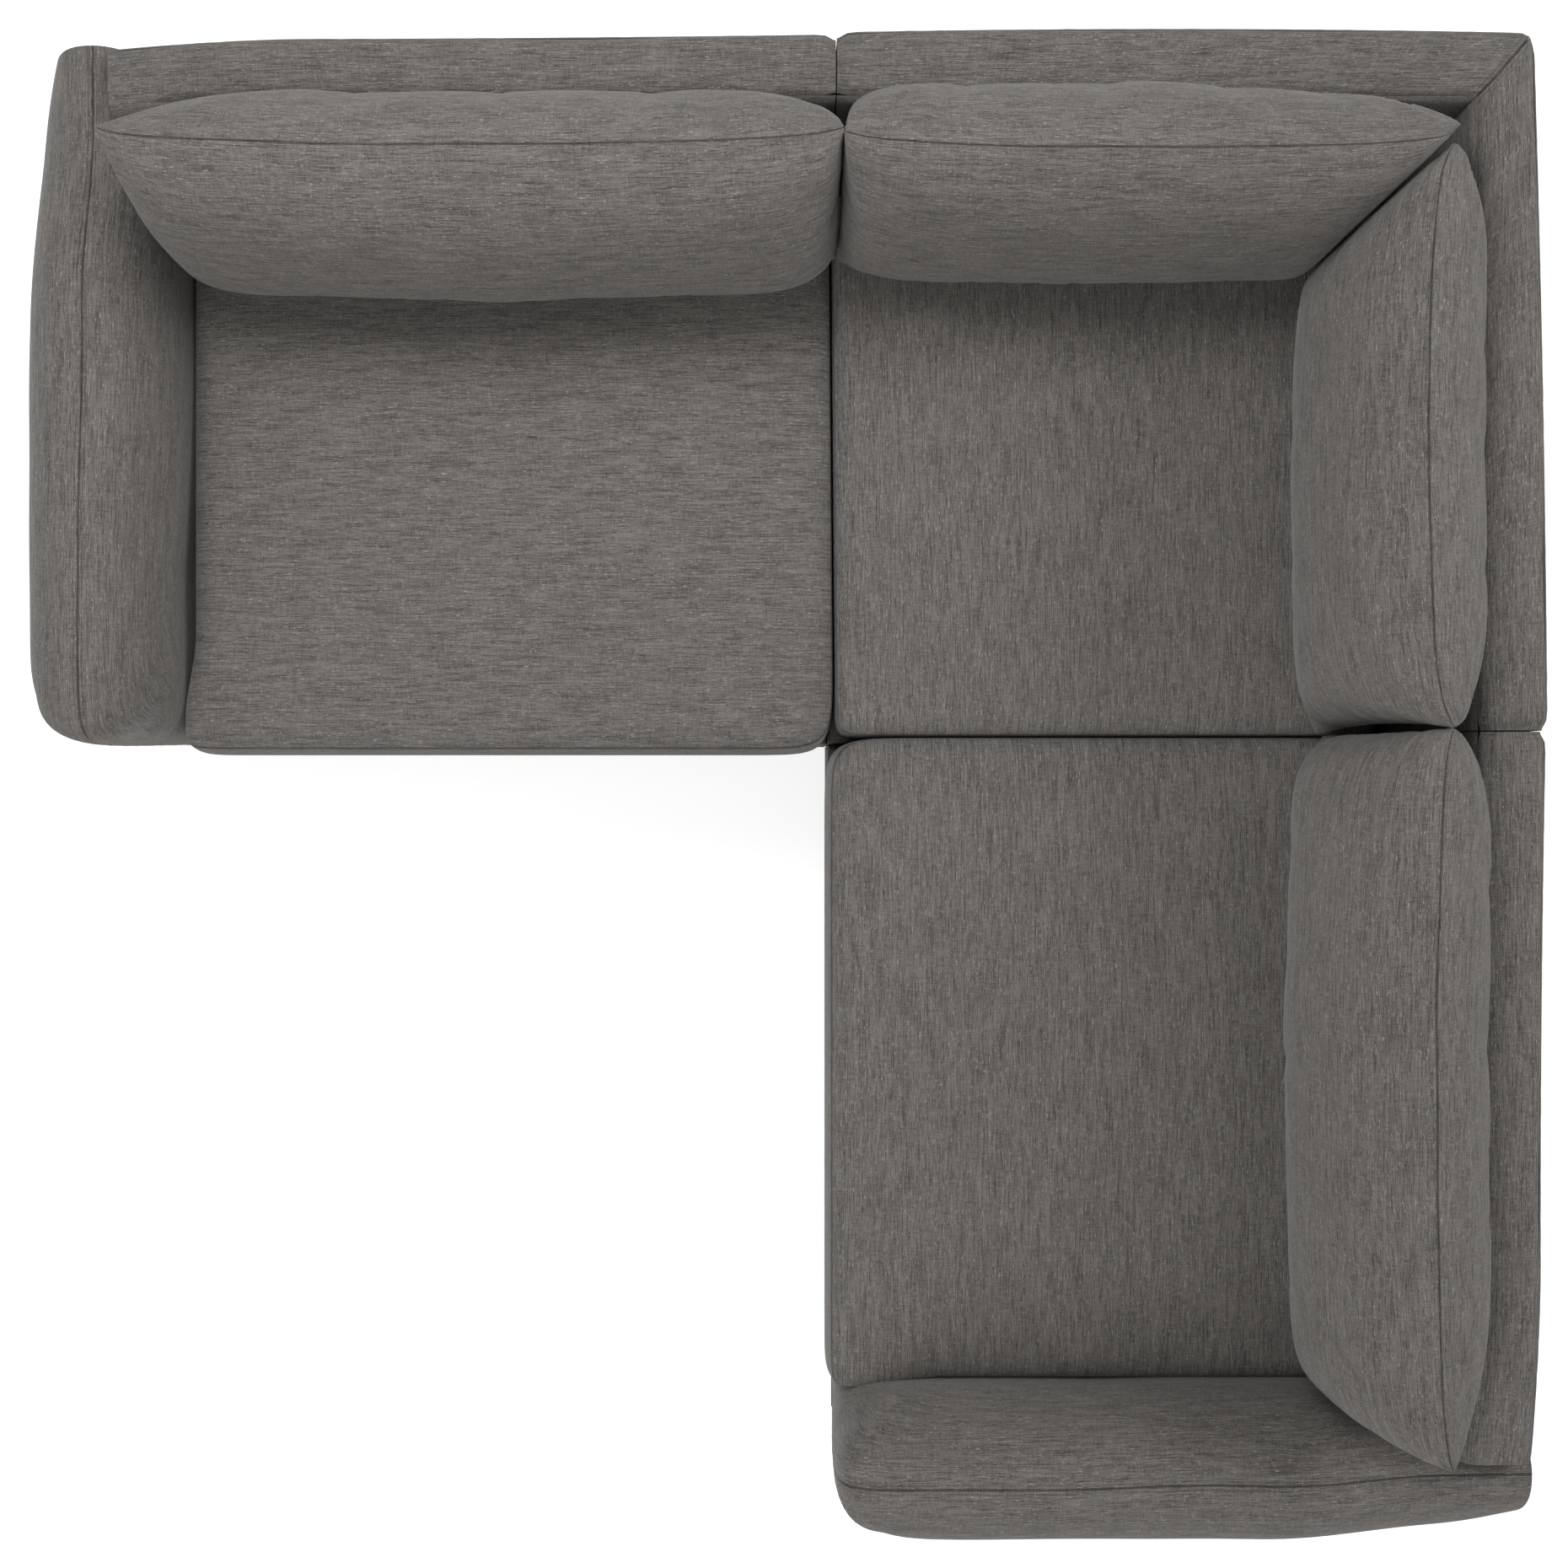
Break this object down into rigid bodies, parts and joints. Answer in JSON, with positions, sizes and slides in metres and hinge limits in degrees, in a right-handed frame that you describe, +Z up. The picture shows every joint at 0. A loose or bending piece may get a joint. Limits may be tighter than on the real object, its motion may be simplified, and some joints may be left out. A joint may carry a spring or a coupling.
{
  "type": "sectional sofa",
  "caption": "L-shaped upholstered sectional sofa of a left arm unit, a corner unit and a right arm unit, with loose seat and back cushions.",
  "frame": {"origin": "on the floor, at the centre of the square footprint that encloses the L", "axes": "+Z up; +X to the right seen from above with the left unit's back at the far side; +Y towards the left unit's back"},
  "size_m": [2.08, 2.08, 0.837],
  "materials": {
    "cushion_fabric": "matte",
    "upholstery_fabric": "matte",
    "deck_cloth": "matte",
    "dust_cloth": "matte",
    "elastic_webbing": "matte",
    "foam": "matte",
    "fibre": "matte",
    "timber": "matte",
    "foot_plastic": "matte",
    "zinc_steel": "satin",
    "connector_steel": "satin"
  },
  "bodies": {
    "corner_unit": {"corner_base_rails": "timber", "corner_base_upholstery": "upholstery_fabric", "corner_corner_blocks": "timber", "corner_deck_pad": "deck_cloth", "corner_dust_cover": "dust_cloth", "corner_feet": "foot_plastic", "corner_foot_bolts": "zinc_steel", "corner_left_back_frame": "timber", "corner_left_back_upholstery": "upholstery_fabric", "corner_left_tongue_plates": "connector_steel", "corner_left_tongue_screws": "zinc_steel", "corner_right_back_frame": "timber", "corner_right_back_upholstery": "upholstery_fabric", "corner_right_tongue_plates": "connector_steel", "corner_right_tongue_screws": "zinc_steel", "corner_seat_webbing": "elastic_webbing"},
    "left_unit": {"left_arm_frame": "timber", "left_arm_upholstery": "upholstery_fabric", "left_back_frame": "timber", "left_back_upholstery": "upholstery_fabric", "left_base_rails": "timber", "left_base_upholstery": "upholstery_fabric", "left_corner_blocks": "timber", "left_deck_pad": "deck_cloth", "left_dust_cover": "dust_cloth", "left_feet": "foot_plastic", "left_foot_bolts": "zinc_steel", "left_seat_webbing": "elastic_webbing", "left_socket_brackets": "connector_steel", "left_socket_screws": "zinc_steel"},
    "right_unit": {"right_arm_frame": "timber", "right_arm_upholstery": "upholstery_fabric", "right_back_frame": "timber", "right_back_upholstery": "upholstery_fabric", "right_base_rails": "timber", "right_base_upholstery": "upholstery_fabric", "right_corner_blocks": "timber", "right_deck_pad": "deck_cloth", "right_dust_cover": "dust_cloth", "right_feet": "foot_plastic", "right_foot_bolts": "zinc_steel", "right_seat_webbing": "elastic_webbing", "right_socket_brackets": "connector_steel", "right_socket_screws": "zinc_steel"},
    "corner_left_back_cushion": {"corner_left_back_cushion_cover": "cushion_fabric", "corner_left_back_cushion_fill": "fibre"},
    "corner_right_back_cushion": {"corner_right_back_cushion_cover": "cushion_fabric", "corner_right_back_cushion_fill": "fibre"},
    "corner_seat_cushion": {"corner_seat_cushion_core": "foam", "corner_seat_cushion_cover": "cushion_fabric"},
    "left_back_cushion": {"left_back_cushion_cover": "cushion_fabric", "left_back_cushion_fill": "fibre"},
    "left_seat_cushion": {"left_seat_cushion_core": "foam", "left_seat_cushion_cover": "cushion_fabric"},
    "right_back_cushion": {"right_back_cushion_cover": "cushion_fabric", "right_back_cushion_fill": "fibre"},
    "right_seat_cushion": {"right_seat_cushion_core": "foam", "right_seat_cushion_cover": "cushion_fabric"}
  },
  "joints": [
    {"name": "left_unit_slide", "type": "slide", "parent": "corner_unit", "child": "left_unit", "axis": [-1, 0, 0], "range_m": [0, 0.3]},
    {"name": "right_unit_slide", "type": "slide", "parent": "corner_unit", "child": "right_unit", "axis": [0, -1, 0], "range_m": [0, 0.3]},
    {"name": "left_seat_cushion_lift", "type": "slide", "parent": "left_unit", "child": "left_seat_cushion", "axis": [0, 0, 1], "range_m": [0, 0.6]},
    {"name": "right_seat_cushion_lift", "type": "slide", "parent": "right_unit", "child": "right_seat_cushion", "axis": [0, 0, 1], "range_m": [0, 0.6]},
    {"name": "corner_seat_cushion_lift", "type": "slide", "parent": "corner_unit", "child": "corner_seat_cushion", "axis": [0, 0, 1], "range_m": [0, 0.6]},
    {"name": "left_back_cushion_lift", "type": "slide", "parent": "left_seat_cushion", "child": "left_back_cushion", "axis": [0, 0, 1], "range_m": [0, 0.42]},
    {"name": "right_back_cushion_lift", "type": "slide", "parent": "right_seat_cushion", "child": "right_back_cushion", "axis": [0, 0, 1], "range_m": [0, 0.42]},
    {"name": "corner_left_back_cushion_lift", "type": "slide", "parent": "corner_seat_cushion", "child": "corner_left_back_cushion", "axis": [0, 0, 1], "range_m": [0, 0.42]},
    {"name": "corner_right_back_cushion_lift", "type": "slide", "parent": "corner_seat_cushion", "child": "corner_right_back_cushion", "axis": [0, 0, 1], "range_m": [0, 0.42]}
  ]
}
